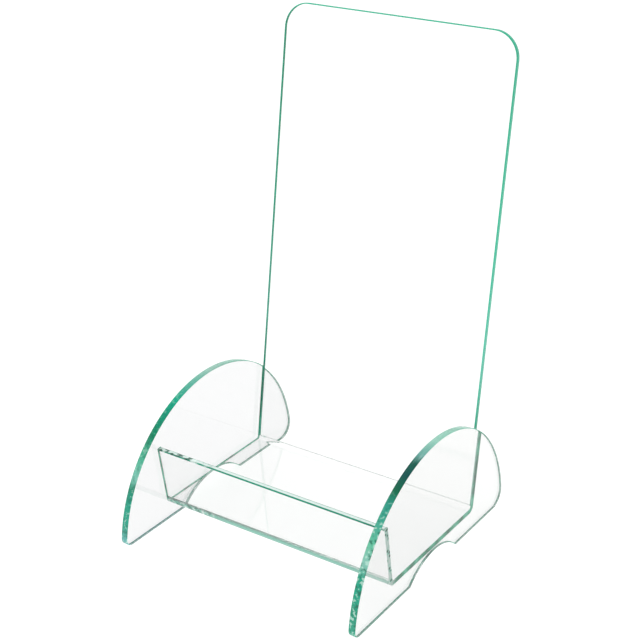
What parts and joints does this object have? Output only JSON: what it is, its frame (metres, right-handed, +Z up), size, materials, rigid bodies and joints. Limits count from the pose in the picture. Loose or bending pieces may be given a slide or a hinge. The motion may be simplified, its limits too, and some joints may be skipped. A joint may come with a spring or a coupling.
{
  "type": "magazine rack",
  "caption": "Clear free-standing magazine rack: a bent sheet makes a tall reclined back, shelf and low front lip, held between half-round side panels with feet.",
  "frame": {"origin": "on the floor under the middle of the rack's box", "axes": "+X to the right seen from the front, across the width; +Y from the front lip towards the back; +Z up"},
  "size_m": [0.2408, 0.2508, 0.4337],
  "materials": {
    "bent_sheet_acrylic": "clear cast acrylic sheet, heat bent, green at its polished edges",
    "side_panel_acrylic": "clear cast acrylic sheet, flat, green at its flame-polished edges",
    "acrylic_cement": "cured clear solvent cement with small bubbles"
  },
  "bodies": {
    "root": {"bent_sheet": "bent_sheet_acrylic", "side_panel_left": "side_panel_acrylic", "side_panel_right": "side_panel_acrylic", "cement_seam_left": "acrylic_cement", "cement_seam_right": "acrylic_cement"}
  },
  "joints": []
}
